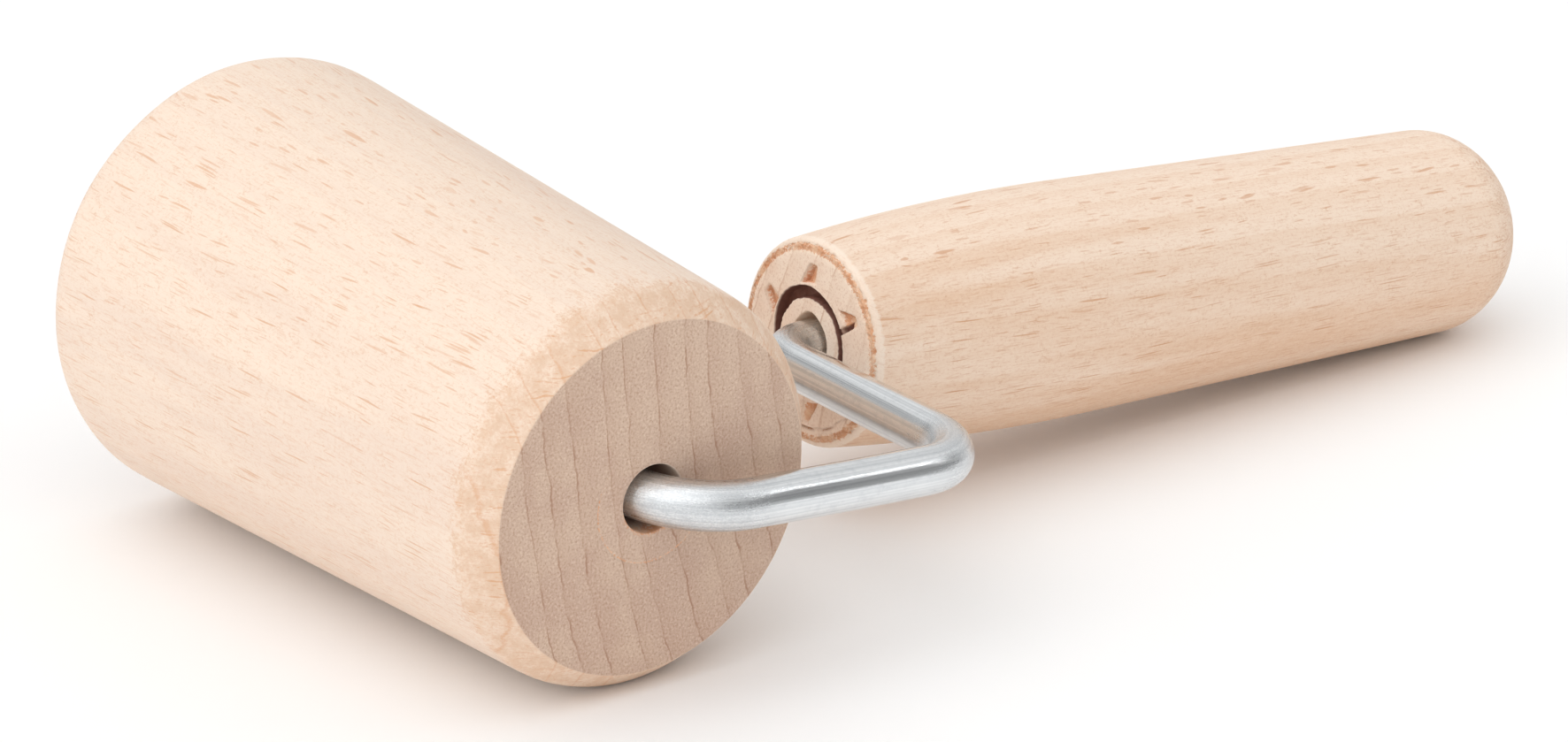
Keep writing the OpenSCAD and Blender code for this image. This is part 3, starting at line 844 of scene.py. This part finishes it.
def cap_outline():
    """(radius, depth), from the middle of the cap's inside, round its flange, to the top of its crown."""
    crown = CAP_FLANGE_T + CAP_GRIP_LEN + CAP_WALL
    inside, outside = WIRE_R - PRESS_FIT, WIRE_R + CAP_WALL
    foot, flange = (inside, 0), (CAP_FLANGE_R, 0)
    flange_top, root = (CAP_FLANGE_R, CAP_FLANGE_T), (outside, CAP_FLANGE_T)
    shoulder = (outside, crown)
    middle = 0.05
    outline = [(middle, crown - CAP_WALL), (inside, crown - CAP_WALL), foot]
    outline += rounded(foot, flange, flange_top, CAP_EDGE_R, 4)
    outline += rounded(flange, flange_top, root, CAP_EDGE_R, 4)
    outline += rounded(flange_top, root, shoulder, CAP_ROOT_R, 5)
    outline += rounded(root, shoulder, (0, crown), CAP_CROWN_R, 8)
    return outline + [(1.0, crown), (middle, crown)]


def axle_end():
    steel = plated()
    washer = turned_steel("plain_washer", washer_outline(), WASHER_AT)
    cap = turned_steel("push_on_cap", cap_outline(), CAP_AT)
    for piece, node in ((washer, "washer"), (cap, "retaining_cap")):
        piece.data.materials.append(steel)
        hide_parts(node)
        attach(piece, "hand_frame")


# --- Studio -------------------------------------------------------------------------------

CAMERA_AZIMUTH, CAMERA_ELEVATION, CAMERA_ROLL = 51.34, 20.34, -0.29
CAMERA_DISTANCE, CAMERA_LENS, CAMERA_SENSOR = 0.6829, 121.9, 36.0
CAMERA_AIM = Vector((-0.00566, -0.01568, 0.01439))
FLOOR_HALF = 4.0


def camera():
    """The photograph's viewpoint. Azimuth 0 looks along +Y and 90 along -X."""
    azimuth, elevation = math.radians(CAMERA_AZIMUTH), math.radians(CAMERA_ELEVATION)
    back = Vector((math.sin(azimuth) * math.cos(elevation),
                   -math.cos(azimuth) * math.cos(elevation), math.sin(elevation)))
    lens = bpy.data.cameras.new("camera")
    lens.lens, lens.sensor_width = CAMERA_LENS, CAMERA_SENSOR
    lens.clip_start, lens.clip_end = 0.01, 50.0
    seen_from = bpy.data.objects.new("camera", lens)
    roll = Matrix.Rotation(math.radians(-CAMERA_ROLL), 3, "Z")
    turn = (-back).to_track_quat("-Z", "Y").to_matrix() @ roll
    seen_from.matrix_world = Matrix.Translation(CAMERA_AIM + back * CAMERA_DISTANCE) @ turn.to_4x4()
    bpy.context.scene.collection.objects.link(seen_from)
    bpy.context.scene.camera = seen_from


def floor():
    """A wide plain sheet of pale paper."""
    mesh = bpy.data.meshes.new("floor")
    corners = [(x * FLOOR_HALF, y * FLOOR_HALF, 0) for x, y in ((-1, -1), (1, -1), (1, 1), (-1, 1))]
    mesh.from_pydata(corners, [], [(0, 1, 2, 3)])
    sheet = bpy.data.objects.new("floor", mesh)
    bpy.context.scene.collection.objects.link(sheet)
    look = Look("paper")
    look.shader.inputs["Base Color"].default_value = (0.98, 0.98, 0.98, 1)
    look.shader.inputs["Roughness"].default_value = 0.8
    look.shader.inputs["Specular IOR Level"].default_value = 0.1
    mesh.materials.append(look.material)


# The light tent's brightness by direction, where 1 is paper white. An edge is where a light or a gap
# starts and where it is full, as the cosine of the angle from its middle. A gap's last number is the
# share of the light that is left in it
TENT = 0.87
KEY_AT, KEY_EDGE, KEY = (0.05, -0.60, 0.80), (0.55, 0.95), 0.80
RIGHT_GAP_AT, RIGHT_GAP_EDGE, RIGHT_GAP = (0.80, 0.58, 0.15), (0.58, 0.80), 0.36
RIGHT_GAP_TOP = (0.62, 0.56)
LEFT_GAP_AT, LEFT_GAP_EDGE, LEFT_GAP = (-0.80, -0.45, 0.38), (0.82, 0.94), 0.45
BACK_GAP_AT, BACK_GAP_EDGE, BACK_GAP = (-0.20, 0.95, 0.15), (0.60, 0.92), 0.90
STRIP_AT = Vector((0.49, 0.586, 0.645)) * 1.3
STRIP_SIZE, STRIP_WATTS = (0.7, 0.016), 0.50


def strip():
    """A thin light that runs level along Y and draws the bright line along the wire."""
    light = bpy.data.lights.new("strip", "AREA")
    light.shape = "RECTANGLE"
    light.size, light.size_y = STRIP_SIZE
    light.energy = STRIP_WATTS
    box = bpy.data.objects.new("strip", light)
    back = STRIP_AT.normalized()
    length = (Vector((0, 1, 0)) - back * back.y).normalized()
    turn = Matrix((length, back.cross(length), back)).transposed().to_4x4()
    box.matrix_world = Matrix.Translation(STRIP_AT) @ turn
    bpy.context.scene.collection.objects.link(box)


def studio():
    """A light tent with a large soft light in front and above, a slightly dimmer back, and two darker
    gaps, low on the right and on the left, that the wire mirrors as its dark bands."""
    world = bpy.data.worlds.new("studio")
    world.use_nodes = True
    bpy.context.scene.world = world
    tent = Nodes(world.node_tree)
    direction = tent.add("ShaderNodeTexCoord").outputs["Generated"]

    def facing(place, edge):
        middle = Vector(place).normalized()
        made = tent.combined("ShaderNodeVectorMath", "DOT_PRODUCT", direction, middle)
        return tent.spread(made["Value"], *edge)

    height = tent.split(direction)[2]
    level = tent.plus(tent.times(facing(KEY_AT, KEY_EDGE), KEY), TENT)
    right = tent.times(facing(RIGHT_GAP_AT, RIGHT_GAP_EDGE), tent.spread(height, *RIGHT_GAP_TOP))
    left = facing(LEFT_GAP_AT, LEFT_GAP_EDGE)
    back = facing(BACK_GAP_AT, BACK_GAP_EDGE)
    for gap, rest in ((right, RIGHT_GAP), (left, LEFT_GAP), (back, BACK_GAP)):
        level = tent.times(level, tent.spread(gap, 0.0, 1.0, 1.0, rest))
    background = tent.tree.nodes["Background"]
    tent.feed(background.inputs["Color"], tent.joined(level, level, level))
    strip()


camera()
floor()
studio()
roller()
wire()
handle()
axle_end()
bpy.context.scene.view_settings.view_transform = "Standard"
